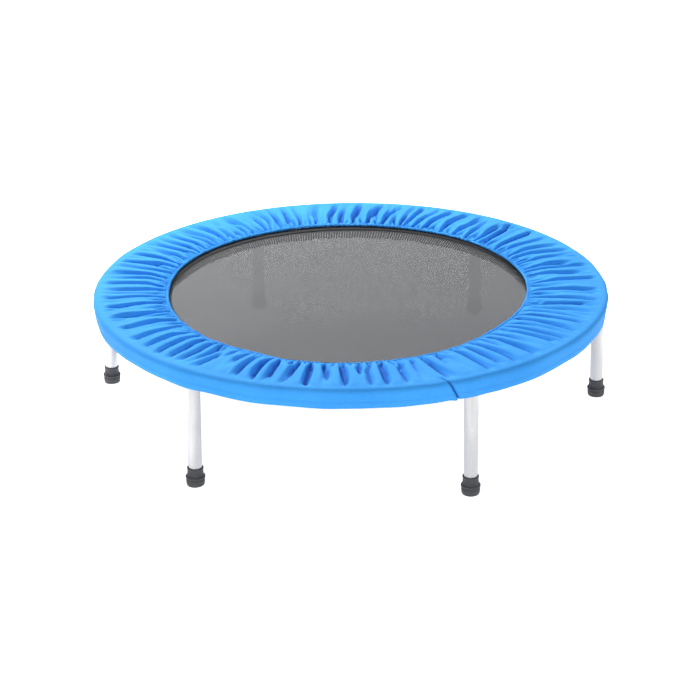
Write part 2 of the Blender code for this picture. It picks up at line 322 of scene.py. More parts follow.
def webbing(tree, dark, light, pitch=0.0016):
    """Ribbed woven tape, with its ribs across the band."""
    place = object_place(tree)
    split = node(tree, "ShaderNodeSeparateXYZ", {0: place})
    turn = calc(tree, "ARCTAN2", split.outputs[1], split.outputs[0])
    distance = node(tree, "ShaderNodeVectorMath", {0: place}, operation="LENGTH").outputs["Value"]
    ribs = wave(tree, calc(tree, "MULTIPLY", turn, MAT_RADIUS), pitch)
    height = calc(tree, "MULTIPLY", ribs, wave(tree, distance, pitch))
    fibre = noise(tree, 300.0, 3.0)
    return {
        "Base Color": blend_colours(tree, weighted(tree, height, fibre, 0.6), dark, light),
        "Roughness": spread(tree, fibre, 0.3, 0.7, 0.72, 0.9),
        "Normal": bump(tree, height, 0.0003),
    }


def painted_steel(tree, colour, roughness, metallic):
    """Satin silver paint: fine metal flake, faint drawing lines down the tube, scuffs and dust."""
    stretched = node(tree, "ShaderNodeMapping", {0: object_place(tree), 3: (260.0, 260.0, 9.0)}).outputs[0]
    tone = weighted(tree, noise(tree, 1.0, 3.0, stretched), noise(tree, 1800.0, 1.0), 0.5)
    dust = noise(tree, 22.0, 6.0)
    paint = blend_colours(tree, spread(tree, tone, 0.3, 0.7), shade_down(colour, 0.86), colour)
    scuffed = spread(tree, dust, 0.62, 0.80, 0.0, 0.20)
    rough = spread(tree, dust, 0.3, 0.7, roughness - 0.06, roughness + 0.10)
    return {
        "Base Color": blend_colours(tree, scuffed, paint, (0.42, 0.42, 0.42)),
        "Roughness": calc(tree, "ADD", rough, calc(tree, "MULTIPLY", scuffed, 0.3)),
        "Normal": bump(tree, tone, 0.00006),
        "Metallic": metallic,
        "Coat Weight": 0.10,
        "Coat Roughness": 0.3,
    }


def plated_steel(tree, colour, roughness):
    """Zinc plate: bright, a little cloudy, with fine scratches."""
    cloudy = noise(tree, 60.0, 5.0)
    return {
        "Base Color": blend_colours(tree, spread(tree, cloudy, 0.35, 0.65), shade_down(colour, 0.72), colour),
        "Roughness": spread(tree, cloudy, 0.3, 0.7, roughness - 0.08, roughness + 0.12),
        "Normal": bump(tree, noise(tree, 900.0, 2.0), 0.00004),
        "Metallic": 1.0,
    }


def moulded_rubber(tree):
    """Dark grey moulded rubber, fine-grained, with dust and scuffs low down."""
    height = node(tree, "ShaderNodeSeparateXYZ", {0: object_place(tree)}).outputs[2]
    grain = noise(tree, 1500.0, 2.0)
    dust = noise(tree, 90.0, 5.0)
    low = calc(tree, "ADD", spread(tree, height, 0.0, 0.02, 0.45, 0.0), 0.12)
    dusty = calc(tree, "MULTIPLY", spread(tree, dust, 0.45, 0.7), low)
    rubber = blend_colours(tree, spread(tree, grain, 0.3, 0.7), (0.040, 0.040, 0.044), (0.054, 0.054, 0.059))
    return {
        "Base Color": blend_colours(tree, dusty, rubber, (0.12, 0.12, 0.12)),
        "Roughness": spread(tree, dust, 0.3, 0.7, 0.5, 0.72),
        "Normal": bump(tree, grain, 0.00008),
    }


def twisted_thread(tree, colour):
    twist = noise(tree, 1200.0, 2.0)
    return {
        "Base Color": blend_colours(tree, twist, shade_down(colour, 0.6), colour),
        "Normal": bump(tree, twist, 0.0001),
        "Roughness": 0.7,
    }


def bright_floor(tree):
    return {
        "Base Color": blend_colours(tree, noise(tree, 1.5, 2.0), (0.90, 0.90, 0.90), (0.93, 0.93, 0.93)),
        "Roughness": 0.9,
        "Specular IOR Level": 0.1,
        "Emission Color": (1.0, 1.0, 1.0, 1.0),
        "Emission Strength": 0.82,
    }


# ======== mesh helpers
def add_object(name, data):
    obj = bpy.data.objects.new(name, data)
    bpy.context.scene.collection.objects.link(obj)
    return obj


def smooth_mesh(mesh, sharp):
    """Shades a mesh smooth, apart from edges sharper than the given degrees."""
    mesh.shade_smooth()
    mesh.set_sharp_from_angle(angle=math.radians(sharp))


def shape_object(name, shape, material=None):
    mesh = bpy.data.meshes.new(name)
    shape.to_mesh(mesh)
    shape.free()
    if material:
        mesh.materials.append(material)
    return add_object(name, mesh)


def mesh_object(name, vertices, faces, material, smooth=True):
    mesh = bpy.data.meshes.new(name)
    mesh.from_pydata(vertices, [], faces)
    mesh.materials.append(material)
    if smooth:
        mesh.shade_smooth()
    mesh.update()
    return add_object(name, mesh)


def grid_faces(rows, columns, closed_rows=False, start=0):
    """Quads over a grid whose columns close on themselves, and its rows too if closed_rows."""
    faces = []
    for row in range(rows if closed_rows else rows - 1):
        here = start + row * columns
        above = start + (row + 1) % rows * columns
        for column in range(columns):
            side = (column + 1) % columns
            faces.append((here + column, above + column, above + side, here + side))
    return faces


def turns(count):
    """Angles spaced evenly round a circle."""
    return [math.tau * step / count for step in range(count)]


def circle(shape, matrix, radii, height):
    """Adds points round Z to a bmesh, one for each radius."""
    ring = []
    for radius, angle in zip(radii, turns(len(radii))):
        place = Vector((radius * math.cos(angle), radius * math.sin(angle), height))
        ring.append(shape.verts.new(matrix @ place))
    return ring


def turned(name, outline, segments, material, matrix, closed=False, sharp=35.0):
    """An outline of (radius, height) points turned round Z. An open outline ends on the axis."""
    shape = bmesh.new()
    rings = []
    for radius, height in outline:
        on_axis = radius < 1e-7
        rings.append(circle(shape, matrix, [0.0] if on_axis else [radius] * segments, height))
    pairs = list(zip(rings, rings[1:]))
    if closed:
        pairs.append((rings[-1], rings[0]))
    for lower, upper in pairs:
        for step in range(segments):
            side = (step + 1) % segments
            corners = ((lower, step), (upper, step), (upper, side), (lower, side))
            points = [ring[number % len(ring)] for ring, number in corners]
            shape.faces.new(list(dict.fromkeys(points)))
    bmesh.ops.recalc_face_normals(shape, faces=shape.faces)
    obj = shape_object(name, shape, material)
    smooth_mesh(obj.data, sharp)
    return obj


def corner_curve(before, corner, after, radius, steps):
    """The points of a short curve that cuts a corner."""
    into, out = before - corner, after - corner
    reach = min(radius, 0.45 * into.length, 0.45 * out.length)
    start = corner + into.normalized() * reach
    end = corner + out.normalized() * reach
    curve = []
    for step in range(steps + 1):
        t = step / steps
        curve.append(start * (1 - t) ** 2 + corner * 2 * t * (1 - t) + end * t**2)
    return curve


def rounded(outline, radius, steps=3):
    """The outline with each inner corner replaced by a short curve."""
    points = [Vector(point) for point in outline]
    smooth = [points[0]]
    for before, corner, after in zip(points, points[1:], points[2:]):
        smooth += corner_curve(before, corner, after, radius, steps)
    return [tuple(point) for point in smooth + points[-1:]]


def round_loop(corners, radius, steps):
    """A closed line with all its corners replaced by short curves."""
    points = [Vector(corner) for corner in corners]
    smooth = []
    for before, corner, after in zip(points[-1:] + points, points, points[1:] + points):
        smooth += corner_curve(before, corner, after, radius, steps)
    return smooth


def pipe(name, inner, outer, bottom, top, corner, steps, segments, material, matrix):
    """A pipe along Z with rounded ends."""
    outline = [(inner, bottom), (inner, top), (outer, top), (outer, bottom), (inner, bottom)]
    outline = rounded(outline, corner, steps)[:-1]
    return turned(name, outline, segments, material, matrix, closed=True)


def tube_parts(points, radius, sides, closed=False, start=0, squash=1.0):
    """Vertices and faces of a tube swept along points, with round or flattened section."""
    points = [Vector(point) for point in points]
    behind = (points[-1:] if closed else points[:1]) + points[:-1]
    ahead = points[1:] + (points[:1] if closed else points[-1:])
    tangents = [(after - before).normalized() for before, after in zip(behind, ahead)]
    up = Vector((0, 0, 1)) if abs(tangents[0].z) < 0.9 else Vector((1, 0, 0))
    across = tangents[0].cross(up).normalized()
    vertices = []
    for point, tangent in zip(points, tangents):
        across = (across - tangent * across.dot(tangent)).normalized()
        high = across.cross(tangent)
        for angle in turns(sides):
            offset = across * (math.cos(angle) * radius) + high * (math.sin(angle) * radius * squash)
            vertices.append(point + offset)
    faces = grid_faces(len(points), sides, closed_rows=closed, start=start)
    if not closed:
        last = start + (len(points) - 1) * sides
        faces.append(tuple(range(start, start + sides)))
        faces.append(tuple(reversed(range(last, last + sides))))
    return vertices, faces


def tube(name, points, radius, sides, material, closed=False, squash=1.0):
    vertices, faces = tube_parts(points, radius, sides, closed, 0, squash)
    return face_outward(mesh_object(name, vertices, faces, material))


def tubes(name, routes, radius, sides, material, squash=1.0):
    """Many short tubes in one piece, such as a row of stitches."""
    vertices, faces = [], []
    for route in routes:
        more_vertices, more_faces = tube_parts(route, radius, sides, False, len(vertices), squash)
        vertices += more_vertices
        faces += more_faces
    return face_outward(mesh_object(name, vertices, faces, material))


def face_outward(obj):
    shape = bmesh.new()
    shape.from_mesh(obj.data)
    bmesh.ops.recalc_face_normals(shape, faces=shape.faces)
    shape.to_mesh(obj.data)
    shape.free()
    return obj


def on_ring(radius, angle, height=RING_HEIGHT):
    return Vector((radius * math.cos(angle), radius * math.sin(angle), height))


def seat(obj, body, slot, *nodes):
    """Puts a piece on its body and hides the CAD nodes that it stands for."""
    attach(obj, body)
    if nodes:
        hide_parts(*nodes)
    return obj


def apply_modifiers(obj):
    graph = bpy.context.evaluated_depsgraph_get()
    mesh = bpy.data.meshes.new_from_object(obj.evaluated_get(graph))
    obj.modifiers.clear()
    obj.data = mesh


# ======== curves round the ring
def bell(distance, width):
    return np.exp(-((distance / width) ** 2))


def ramp(values, start, length):
    """0 up to the start, then a straight rise to 1 over the length."""
    return np.clip((values - start) / length, 0, 1)


def inward_share(along, top_length):
    """1 at the inner seam, 0 where the top ends and beyond."""
    return np.clip(1 - along / top_length, 0, 1)[:, None]


def turn_from(angles, middle):
    """How far the angles are from the middle, going the shorter way round."""
    return np.angle(np.exp(1j * (angles - middle)))


def outward_from(angles):
    return np.stack([np.cos(angles), np.sin(angles), np.zeros(len(angles))], -1)


def ring_noise(random, angles, low, high, slope=0.0):
    """A smooth closed random curve round the ring, with waves from low to high per turn."""
    total = np.zeros_like(angles)
    for waves in range(low, high + 1):
        total += random.normal() * np.cos(waves * angles + random.uniform(0, math.tau)) * waves**slope
    return total / np.std(total)


# ======== the gathered cover
def cover_outline():
    """Where each row of the cloth lies: along the strip from the inner seam, and its (radius, height)."""
    top_length = math.hypot(TOP_RADIUS - SEAM_RADIUS, TOP_HEIGHT - HEM_HEIGHT)
    arc_length = CORNER * math.pi / 2
    wall_length = math.hypot(WALL_RADIUS - SKIRT_RADIUS, TOP_HEIGHT - CORNER - SKIRT_HEIGHT)
    total = top_length + arc_length + wall_length
    share = np.linspace(0, 1, COVER_ROWS)
    along = total * (0.55 * share + 0.45 * share**1.6)
    top = np.clip(along / top_length, 0, 1)
    turn = np.clip((along - top_length) / CORNER, 0, math.pi / 2)
    wall = np.clip((along - top_length - arc_length) / wall_length, 0, 1)
    radius = SEAM_RADIUS + (TOP_RADIUS - SEAM_RADIUS) * top + CORNER * np.sin(turn)
    height = HEM_HEIGHT + (TOP_HEIGHT - HEM_HEIGHT) * top - CORNER * (1 - np.cos(turn))
    radius += (SKIRT_RADIUS - WALL_RADIUS) * wall
    height += (SKIRT_HEIGHT - TOP_HEIGHT + CORNER) * wall
    return along, top_length, np.stack([radius, height], -1)


def bed_height(radius):
    """What the cloth lies on: the mat's edge, the V-rings, the springs and the frame's tube."""
    springs = RING_HEIGHT + SPRING_TOP + CLOTH_GAP
    rise = ramp(radius, SPRINGS_START, SPRINGS_RISE)
    bed = BED_LOW + (springs - BED_LOW) * rise * rise * (3 - 2 * rise)
    reach = TUBE_RADIUS + CLOTH_GAP
    over = np.sqrt(np.clip(reach**2 - (radius - RING_RADIUS) ** 2, 0, None))
    return np.maximum(bed, np.where(over > 0, RING_HEIGHT + over, 0))


def fold_waves(random, angles, count, wander):
    """About count folds round the ring, evenly close but not alike."""
    phase = count * angles + wander * ring_noise(random, angles, 1, 14, -0.5)
    size = np.clip(0.85 + 0.75 * ring_noise(random, angles, 5, 45, -0.2), 0.10, 2.3)
    return (2 * np.abs(np.sin(phase / 2)) ** 0.6 - 1) * size


def deep_creases(radius, angles):
    """The deepest creases: the share of their grooves, and of the calm cloth beside them."""
    grooves = np.zeros((len(radius), len(angles)))
    beside = np.zeros_like(grooves)
    for hem_turn, outer_turn, start, end in CREASES:
        share = (radius - start) / (end - start)
        middle = np.radians(hem_turn + (outer_turn - hem_turn) * np.clip(share, -0.2, 1.2))
        across = np.abs(turn_from(angles[None, :], middle)) * radius
        taper = np.clip(np.minimum(share + 0.1, 1 - share) / 0.3, 0, 1)
        grooves += taper * bell(across, CREASE_WIDTH * (1.25 - 0.70 * np.clip(share, 0, 1)))
        beside = np.maximum(beside, taper * bell(across, 5 * CREASE_WIDTH))
    return grooves, beside


def around(height, columns):
    """The heights of the neighbours on both sides, up to the given number of columns away."""
    return np.stack([np.roll(height, step, 1) for step in range(-columns, columns + 1)])


def broaden_crests(height, columns, power):
    """Makes the crests of the folds broad and their creases narrow, and as deep as before."""
    near = around(height, columns)
    crest = around(near.max(0), columns).mean(0)
    span = np.maximum(crest - around(near.min(0), columns).mean(0), 1e-5)
    return crest - span * np.clip((crest - height) / span, 0, 1) ** power


def pull(rests, first, second, stiffness):
    """Moves two lots of points towards their rest distance, and returns both."""
    gap = second - first
    length = np.sqrt((gap * gap).sum(-1))
    step = (stiffness * 0.5 * (length - rests) / np.maximum(length, 1e-9))[..., None] * gap
    return first + step, second - step


def pull_along(cloth, hoop, reach, stiffness):
    """Pulls the points of each row that are reach columns apart."""
    every = np.arange(COVER_COLUMNS)
    for parity in (0, 1):
        near = every[(every // reach) % 2 == parity]
        far = (near + reach) % COVER_COLUMNS
        cloth[:, near], cloth[:, far] = pull(reach * hoop[:, near], cloth[:, near], cloth[:, far], stiffness)


def pull_across(cloth, radial, reach, stiffness):
    """Pulls the points of each column that are reach rows apart."""
    every = np.arange(COVER_ROWS - reach)
    for parity in (0, 1):
        near = every[(every // reach) % 2 == parity]
        rests = sum(radial[near + step] for step in range(reach))
        cloth[near], cloth[near + reach] = pull(rests, cloth[near], cloth[near + reach], stiffness)


def pull_slanting(cloth, diagonal, stiffness):
    """Pulls the points that are one row and one column apart."""
    for parity in (0, 1):
        near = np.arange(parity, COVER_ROWS - 1, 2)
        for side in (1, -1):
            far = np.roll(cloth[near + 1], -side, 1)
            cloth[near], far = pull(diagonal[near], cloth[near], far, stiffness)
            cloth[near + 1] = np.roll(far, side, 1)


def folded_strip(random, angles, along, top_length, outline, grooves, beside):
    """The gathered strip before its folds settle."""
    inward = inward_share(along, top_length)
    lean = 0.020 * ring_noise(random, angles, 3, 12, -0.4)
    for middle, width, size in FOLD_LEANS:
        lean += size * bell(turn_from(angles, math.radians(middle)), math.radians(width))
    bunch = 0.0045 * ring_noise(random, angles, 8, 70, -0.4)
    turn = angles[None, :] + inward**2 * bunch[None, :]
    slanted = angles[None, :] - inward * lean[None, :]
    lift = np.zeros((COVER_ROWS, COVER_COLUMNS))
    for count, wander, size, centre, width in FOLDS:
        envelope = bell(along[:, None] - centre, width)
        folds = fold_waves(random, angles, count, wander)
        lift += size * envelope * np.interp(slanted, angles, folds, period=math.tau)
    lift = lift * (1 - 0.75 * beside) + CREASE_DEPTH * (0.3 * beside - grooves)
    lift *= ramp(top_length - along, 0, 0.018)[:, None]
    lift *= np.clip(0.3 + along / 0.008, 0, 1)[:, None]
    radius, height = outline[:, :1], outline[:, 1:]
    return np.stack([radius * np.cos(turn), radius * np.sin(turn), height + lift], -1)


def settled_height(cloth, along, top_length, plain, grooves, lid):
    """The height of settled cloth with broad crests, deep creases and a plain rim."""
    solved = cloth[..., 2]
    outer = ramp(along, 0.012, 0.02)
    height = broaden_crests(solved, 4, 1.7) * (1 - outer) + broaden_crests(solved, 9, 2.2) * outer
    above = height - around(height, 4).mean(0)
    height = height + 0.8 * above - 0.9 * CREASE_DEPTH * grooves
    height = solved + (height - solved) * ramp(along, 0, 0.014)
    height = height + (plain - height) * ramp(along - top_length, -0.013, 0.011)
    reach = np.hypot(cloth[..., 0], cloth[..., 1])
    return np.clip(height, bed_height(reach), lid + 0.001)


def gather_cloth(iterations=220):
    """Position-based cloth: a strip cut to the frame's girth, held by its elastic at the inner seam."""
    random = np.random.default_rng(11)
    along, top_length, outline = cover_outline()
    angles = np.array(turns(COVER_COLUMNS))
    grooves, beside = deep_creases(outline[:, :1], angles)
    cloth = folded_strip(random, angles, along, top_length, outline, grooves, beside)
    uneven = np.clip(1 + 0.30 * ring_noise(random, angles, 3, 30, -0.3), 0.4, 1.8)[None, :]
    fullness = HEM_EXCESS * inward_share(along, top_length) ** 1.3 * uneven + 0.002
    hoop = math.tau * outline[:, :1] / COVER_COLUMNS * (1 + fullness)
    radial = np.diff(along)[:, None] * STRETCH
    diagonal = np.sqrt(radial**2 + ((hoop[:-1] + hoop[1:]) / 2) ** 2)
    held = along > top_length - HELD_MARGIN
    held[0] = True
    held_places = cloth[held].copy()
    lid = HEM_HEIGHT + LID_START + LID_SLOPE * along[:, None]
    smooth_out = 0.02 * ramp(along, 0.012, 0.03)[:, None]
    speed = np.zeros_like(cloth)
    for _ in range(iterations):
        before = cloth.copy()
        cloth = cloth + speed * 0.9
        pull_along(cloth, hoop, 1, 1.0)
        pull_across(cloth, radial, 1, 1.0)
        pull_slanting(cloth, diagonal, 0.15)
        pull_along(cloth, hoop, 2, 0.06)
        pull_along(cloth, hoop, 4, smooth_out)
        pull_across(cloth, radial, 2, 0.4)
        reach = np.hypot(cloth[..., 0], cloth[..., 1])
        cloth[..., 2] = np.clip(cloth[..., 2], bed_height(reach), lid)
        cloth[held] = held_places
        speed = cloth - before
        fast = np.sqrt((speed * speed).sum(-1, keepdims=True))
        speed *= np.minimum(1, TOP_SPEED / np.maximum(fast, 1e-12))
    loose = ~held
    rows = (cloth[loose], along[loose, None], top_length, outline[loose, 1:], grooves[loose], lid[loose])
    cloth[loose, :, 2] = settled_height(*rows)
    # Painted shade: points in hollows deeper than their neighbours, and in the grooves of the deepest
    # creases, are marked for a darker blue.
    hidden = around(cloth[..., 2], 3).mean(0) - cloth[..., 2]
    shade = np.clip(hidden / SHADE_DEPTH - 0.7, 0, 1) + grooves
    return cloth, np.clip(shade, 0, 1), along, top_length, random


def hem_drift(points, weight):
    """Moves the inner hem off centre and out of round, as the elastic has pulled it."""
    moved = points.copy()
    angle = np.arctan2(points[..., 1], points[..., 0])
    oval = HEM_LOBES * np.sin(3 * angle) - HEM_OVAL * np.cos(2 * angle) + 0.0006 * np.sin(7 * angle + 1.0)
    for middle, width, inward in HEM_PULLS:
        oval -= inward * bell(turn_from(angle, math.radians(middle)), math.radians(width))
    moved[..., 0] += weight * (HEM_SHIFT.x + oval * np.cos(angle))
    moved[..., 1] += weight * (HEM_SHIFT.y + oval * np.sin(angle))
    return moved


def make_cover(material, thread, elastic):
    cloth, shade, along, top_length, random = gather_cloth()
    cloth = hem_drift(cloth, inward_share(along, top_length) ** 0.8)
    angles = np.array(turns(COVER_COLUMNS))
    wall = ramp(along, top_length, 0.012)[:, None]
    ripple = 0.0004 * ring_noise(random, angles, 10, 60, -0.3) + 0.0005 * ring_noise(random, angles, 2, 9)
    cloth = cloth + (wall * ripple[None, :])[..., None] * outward_from(angles)[None]
    legs = [math.atan2(joint["pos_m"][1], joint["pos_m"][0]) for joint in LEG_JOINTS]
    leg_dip = sum(bell(turn_from(angles, leg), 0.05) for leg in legs)
    skirt = 0.0006 * ring_noise(random, angles, 4, 30, -0.3) - 0.0012 * leg_dip
    cloth[..., 2] += wall**2 * skirt[None, :]
    cloth, tuck_shade = add_tuck(cloth, along, top_length, angles)
    faces = grid_faces(COVER_ROWS, COVER_COLUMNS)
    cover = mesh_object("spring_cover_cloth", cloth.reshape(-1, 3), faces, material)
    cloth_uv(cover, along, COVER_COLUMNS)
    # Painted shade for the creases and the tuck, stored on the points.
    paint_crease_shade(cover, np.maximum(shade, tuck_shade))
    solid = cover.modifiers.new("Thickness", "SOLIDIFY")
    solid.thickness = COVER_THICKNESS
    solid.offset = -1
    apply_modifiers(cover)
    seat(cover, "frame", "cover_fabric", "spring_cover")
    inner = make_inner_hem(cloth[0], random, material, elastic)
    outer = make_outer_hem(cloth[-1], material, elastic)
    stitches = make_hem_stitches(cloth, thread)
    return cover


def add_tuck(cloth, along, top_length, angles):
    """One slanting tuck over the outer wall, to the left of the leg at the front right, with painted shade
    along its fold.
    """
    down = (along - top_length)[:, None]
    across = turn_from(angles[None, :], TUCK_TURN) * WALL_RADIUS - TUCK_SLANT * down
    reach = ramp(down, -0.020, 0.020)
    drawn_in = -0.8 * across * bell(across, 0.010) * reach
    across = across + drawn_in
    shape = 0.0016 * bell(across + 0.004, 0.003) - 0.0038 * bell(across, 0.0015)
    push = (shape * reach)[..., None]
    outward = outward_from(angles)[None]
    aside = np.stack([-np.sin(angles), np.cos(angles), np.zeros(len(angles))], -1)[None]
    up = np.array([0, 0, 1.0])
    corner = ramp(down, 0, CORNER * math.pi / 2)[..., None]
    step = 0.0016 * ramp(down, 0, 0.03) * bell(across + 0.006, 0.006) * (across < 0)
    moved = cloth + push * (outward * corner + up * (1 - corner)) + aside * drawn_in[..., None]
    return moved - up * step[..., None], reach * bell(across, 0.0018)


def paint_crease_shade(obj, shade):
    """Stores how much painted shade each point gets, from how deep it lies in a hollow; the material paints
    those points a darker blue.
    """
    layer = obj.data.attributes.new("crease", "FLOAT", "POINT")
    layer.data.foreach_set("value", np.asarray(shade, np.float32).ravel())


def cloth_uv(obj, along, columns):
    """Stores each point's place on the flat strip, in metres, for the weave."""
    layer = obj.data.uv_layers.new(name="cloth")
    width = STRIP_LENGTH / columns
    loops = np.zeros(len(obj.data.loops), int)
    obj.data.loops.foreach_get("vertex_index", loops)
    row, column = loops // columns, loops % columns
    face_first = np.repeat(column[0::4], 4)
    column = np.where((face_first == columns - 1) & (column == 0), columns, column)
    places = np.stack([column * width, np.asarray(along)[row]], -1)
    layer.data.foreach_set("uv", places.astype(np.float32).ravel())


def casing(name, centre, outward, section, row_width, material):
    """A roll of cloth round the hem. For each side of it, section holds its reach outward and its rise."""
    rings = []
    for reach, rise in section:
        ring = centre + outward * reach[:, None]
        ring[:, 2] += rise
        rings.append(ring)
    faces = grid_faces(len(section), len(centre), True)
    hem = mesh_object(name, np.array(rings).reshape(-1, 3), faces, material)
    cloth_uv(hem, np.arange(len(section)) * row_width, len(centre))
    return seat(face_outward(hem), "frame", "cover_fabric")


def make_inner_hem(seam, random, material, elastic):
    """The casing round the inner elastic: a narrow roll, pleated finely all round, with painted shade between
    the pleats.
    """
    share = np.arange(PLEAT_COLUMNS) / PLEAT_COLUMNS * len(seam)
    low = share.astype(int)
    t = (share - low)[:, None]
    line = seam[low % len(seam)] * (1 - t) + seam[(low + 1) % len(seam)] * t
    angles = np.array(turns(PLEAT_COLUMNS))
    above = fold_waves(random, angles, PLEATS, 12.0)
    below = fold_waves(random, angles, PLEATS_BELOW, 12.0)
    outward = outward_from(np.arctan2(line[:, 1], line[:, 0]))
    centre = line - outward * (HEM_ROLL * 0.75)
    centre[:, 2] = HEM_HEIGHT - 0.0014 + 0.6 * (line[:, 2] - HEM_HEIGHT) + 0.0004 * below
    section, shades = [], []
    for turn in turns(12):
        mix = (1 + math.sin(turn)) / 2
        ruffle = np.clip(above * mix + below * (1 - mix), -0.85, 0.9)
        size = HEM_ROLL * (1 + 0.60 * ruffle)
        size = size + (0.9 * HEM_ROLL - size) * max(0.0, math.cos(turn))  # steady beside the seam
        section.append((math.cos(turn) * size, math.sin(turn) * size * 0.85))
        # Painted shade in the hollows between the pleats, where the roll is narrowest.
        shades.append(np.clip(-0.1 - ruffle, 0, 1))
    hem = casing("cover_inner_hem", centre, outward, section, 0.0015, material)
    paint_crease_shade(hem, shades)
    cord = tube("inner_elastic_cord", centre[::3], 0.0007, 8, elastic, closed=True)
    seat(cord, "frame", "elastic", "cover_inner_elastic")
    return hem


def make_outer_hem(edge, material, elastic):
    """The casing round the outer elastic, turned in under the wall."""
    angles = np.arctan2(edge[:, 1], edge[:, 0])
    outward = outward_from(angles)
    centre = edge - outward * SKIRT_ROLL
    section = []
    for turn in turns(10):
        gather = 1 + 0.10 * np.sin(140 * angles + 2 * np.sin(9 * angles)) * (1 - math.cos(turn)) / 2
        section.append((math.cos(turn) * SKIRT_ROLL * gather, math.sin(turn) * SKIRT_ROLL * 1.2))
    hem = casing("cover_outer_hem", centre, outward, section, 0.0014, material)
    cord = tube("outer_elastic_cord", centre[::2], 0.0009, 8, elastic, closed=True)
    seat(cord, "frame", "elastic", "cover_outer_elastic")
    return hem


def make_hem_stitches(cloth, thread):
    """One row of stitches along each casing, close over the cloth."""
    routes = []
    for row, rise, outward in ((1, 0.0003, 0.0), (-3, 0.0, 0.0002)):
        line = cloth[row]
        for start in range(0, COVER_COLUMNS - 1, 2):
            a, b = line[start], line[start + 1]
            if abs(a[2] - b[2]) > STEEPEST_STITCH:
                continue
            lift = outward * np.array([a[0], a[1], 0]) / np.hypot(a[0], a[1]) + np.array([0, 0, rise])
            routes.append([a + lift, (a + b) / 2 + lift * 1.4, b + lift])
    stitches = tubes("cover_stitches", routes, 0.00022, 4, thread)
    return seat(stitches, "frame", "cover_fabric")


# ======== mat
def make_mat(material):
    """A flat disc with the weave's own coordinates, whose warp spreads a little at the front and back."""
    rings, spokes = 40, 180
    vertices = [(0, 0, RING_HEIGHT)]
    for ring in range(1, rings + 1):
        vertices += [on_ring(MAT_RADIUS * ring / rings, angle) for angle in turns(spokes)]
    faces = [(0, 1 + spoke, 1 + (spoke + 1) % spokes) for spoke in range(spokes)]
    faces += grid_faces(rings, spokes, start=1)
    mat = mesh_object("mat_mesh", vertices, faces, material)
    layer = mat.data.uv_layers.new(name="weave")
    for loop in mat.data.loops:
        place = mat.data.vertices[loop.vertex_index].co
        layer.data[loop.index].uv = (place.x * (1 - WARP_FLARE * place.y**2), place.y)
    seat(mat, "mat", "mat_mesh", "jump_mat")
    return mat


def make_mat_band(material):
    """Webbing folded over the mat's edge."""
    inside = BAND_HALF - BAND_THICKNESS
    fold = BAND_RADIUS - BAND_THICKNESS
    outline = [(BAND_INNER_RADIUS, inside), (BAND_INNER_RADIUS, BAND_HALF), (BAND_RADIUS, BAND_HALF)]
    outline += [(radius, -height) for radius, height in reversed(outline)]
    outline += [(fold, -inside), (fold, inside)]
    outline = rounded(outline + outline[:1], 0.0005, 2)[:-1]
    place = Matrix.Translation((0, 0, RING_HEIGHT))
    band = turned("mat_band", outline, 240, material, place, closed=True)
    return seat(band, "mat", "band_webbing", "mat_edge_band")


def make_edge_strokes(material):
    """Dark strokes of thread that run in from the band over the mesh's edge, longest at the back."""
    routes = []
    random = np.random.default_rng(3)
    for turn in turns(round(math.tau * BAND_INNER_RADIUS / WHIPPING_PITCH)):
        start = on_ring(BAND_INNER_RADIUS + 0.001, turn, RING_HEIGHT + 0.0010)
        direction = Vector((start.x * 0.36, start.y, 0)).normalized()
        back = max(0.0, math.sin(turn)) ** 0.7
        length = 0.006 + 0.040 * random.uniform(0.85, 1.12) * back
        points = []
        for step in range(5):
            t = step / 4
            points.append(start - direction * (length * t) - Vector((0, 0, 0.0013 * t)))
        routes.append(points)
    return seat(tubes("mat_edge_whipping", routes, 0.0015, 6, material, 0.45), "mat", "band_webbing")


def make_band_stitches(material):
    """Two rows of straight stitches round the band."""
    routes = []
    for radius in (BAND_INNER_RADIUS + 0.003, BAND_RADIUS - 0.004):
        reach = 0.0030 / radius
        for angle in turns(round(math.tau * radius / STITCH_PITCH)):
            points = []
            for share, lift in ((0, 0), (0.25, 0.0003), (0.75, 0.0003), (1, 0)):
                points.append(on_ring(radius, angle + reach * share, RING_HEIGHT + BAND_HALF + lift))
            routes.append(points)
    return seat(tubes("mat_band_stitches", routes, 0.0003, 4, material), "mat", "band_webbing")


def make_mat_hardware(wire, cloth):
    """A V-ring at each spring, held in a loop of webbing sewn over the band."""
    corners = [
        (RING_BASE_RADIUS, -RING_BASE_HALF, RING_HEIGHT),
        (RING_BASE_RADIUS, RING_BASE_HALF, RING_HEIGHT),
        (RING_APEX_RADIUS, RING_APEX_HALF, RING_HEIGHT - RING_APEX_DROP),
        (RING_APEX_RADIUS, -RING_APEX_HALF, RING_HEIGHT - RING_APEX_DROP),
    ]
    route = round_loop(corners, 0.0028, 4)
    for number in range(SPRING_COUNT):
        place = Matrix.Rotation(spring_turn(number), 4, "Z")
        ring = tube(f"v_ring_{number + 1:02d}", [place @ point for point in route], RING_WIRE, 8, wire, True)
        seat(ring, "mat", "zinc_plate")
        tab = make_tab(f"ring_tab_{number + 1:02d}", place, cloth)
        seat(tab, "mat", "band_webbing")


